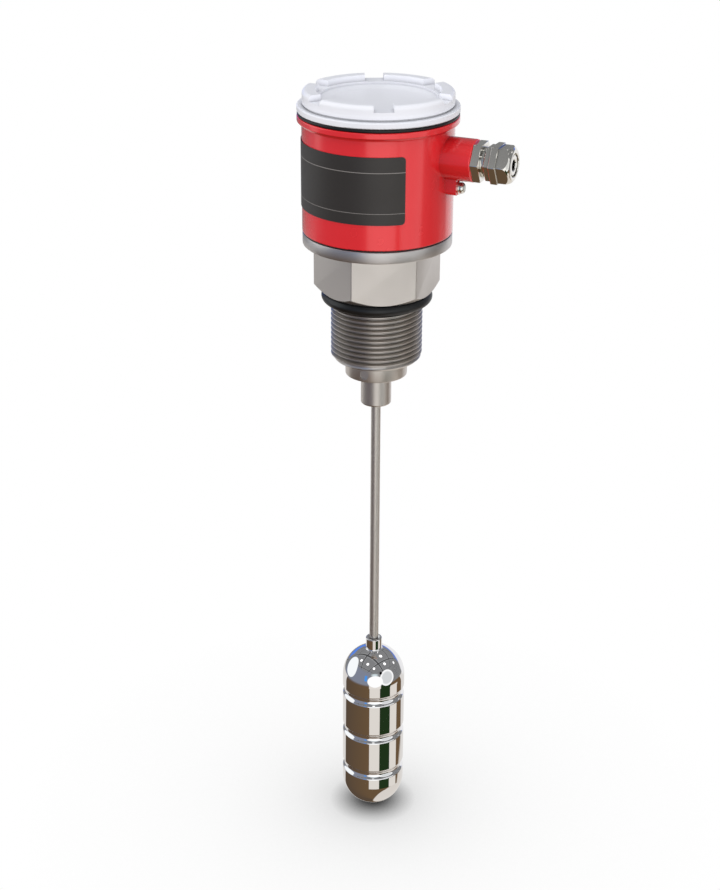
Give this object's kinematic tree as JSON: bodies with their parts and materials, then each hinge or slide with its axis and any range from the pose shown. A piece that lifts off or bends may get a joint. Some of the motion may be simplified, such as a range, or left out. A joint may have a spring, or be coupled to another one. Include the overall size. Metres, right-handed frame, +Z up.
{
  "type": "float switch",
  "caption": "Pivoted-arm magnetic float switch: threaded steel connector under a round housing with screw lid and cable gland, thin rod and grooved float below.",
  "frame": {"origin": "on the connector's axis, where the process thread begins under the sealing ring", "axes": "+Z up along the connector towards the lid, +X along the cable gland, the float arm swings about Y"},
  "size_m": [0.0991, 0.0714, 0.3705],
  "materials": {
    "stainless": "turned and bead-blasted stainless steel, satin",
    "polished_steel": "mirror-polished stainless steel",
    "nickel_plate": "bright nickel plating",
    "red_paint": "smooth semi-gloss red stoving enamel on cast aluminium",
    "white_paint": "smooth white stoving enamel on cast aluminium",
    "rubber": "black nitrile rubber",
    "plate_film": "dark grey printed plate, satin",
    "washer_plastic": "white slide plastic",
    "magnet": "sintered magnet",
    "zinc_steel": "zinc-plated steel",
    "brass": "plain brass",
    "switch_plastic": "moulded black plastic",
    "plunger_plastic": "moulded red plastic",
    "block_plastic": "moulded grey plastic"
  },
  "bodies": {
    "head": {"process_connector": "stainless", "process_seal": "rubber", "base_gasket": "rubber", "housing": "red_paint", "connector_locknut": "zinc_steel", "rating_plate": "plate_film", "pivot_pin": "stainless", "thrust_washers": "washer_plastic", "gland_body": "nickel_plate", "gland_washer": "rubber", "gland_seal": "rubber", "earth_screw": "nickel_plate", "earth_washer": "nickel_plate", "inner_earth_screw": "brass", "switch_bracket": "zinc_steel", "lever_pin": "zinc_steel", "microswitch": "switch_plastic", "switch_terminals": "brass", "microswitch_screws": "zinc_steel", "terminal_block": "block_plastic", "terminal_screws": "brass", "block_screws": "zinc_steel"},
    "float_arm": {"arm_hub": "stainless", "arm_magnet": "magnet", "float_rod": "stainless", "float_neck": "polished_steel", "float_shell": "polished_steel"},
    "follower": {"switch_lever": "brass", "lever_magnet": "magnet"},
    "plunger": {"switch_plunger": "plunger_plastic"},
    "lid_carrier": {"lid_seal": "rubber"},
    "lid_cap": {"lid": "white_paint"},
    "gland_carrier": {"gland_slip_ring": "nickel_plate"},
    "gland_cap": {"gland_nut": "nickel_plate"}
  },
  "joints": [
    {"name": "float_swing", "type": "hinge", "parent": "head", "child": "float_arm", "pos_m": [0, 0, -0.032], "axis": [0, 1, 0], "range_deg": [-8, 8]},
    {"name": "lever_swing", "type": "hinge", "parent": "head", "child": "follower", "pos_m": [0, 0, 0.0505], "axis": [0, 1, 0], "range_deg": [-5, 5]},
    {"name": "plunger_slide", "type": "slide", "parent": "head", "child": "plunger", "axis": [1, 0, 0], "range_m": [-0.0008, 0.0008]},
    {"name": "lid_lift", "type": "slide", "parent": "head", "child": "lid_carrier", "axis": [0, 0, 1], "range_m": [0, 0.0121]},
    {"name": "lid_turn", "type": "hinge", "parent": "lid_carrier", "child": "lid_cap", "pos_m": [0, 0, 0.0874], "axis": [0, 0, 1], "range_deg": [0, 2160]},
    {"name": "gland_slide", "type": "slide", "parent": "head", "child": "gland_carrier", "axis": [1, 0, 0], "range_m": [0, 0.0068]},
    {"name": "gland_turn", "type": "hinge", "parent": "gland_carrier", "child": "gland_cap", "pos_m": [0.058, 0, 0.0698], "axis": [1, 0, 0], "range_deg": [0, 1620]}
  ],
  "couplings": [
    {"joint": "lever_swing", "follows": "float_swing", "ratio": 0.6},
    {"joint": "plunger_slide", "follows": "float_swing", "m_per_rad": 0.0048},
    {"joint": "lid_lift", "follows": "lid_turn", "m_per_rad": 0.00031831},
    {"joint": "gland_slide", "follows": "gland_turn", "m_per_rad": 0.00023873}
  ]
}
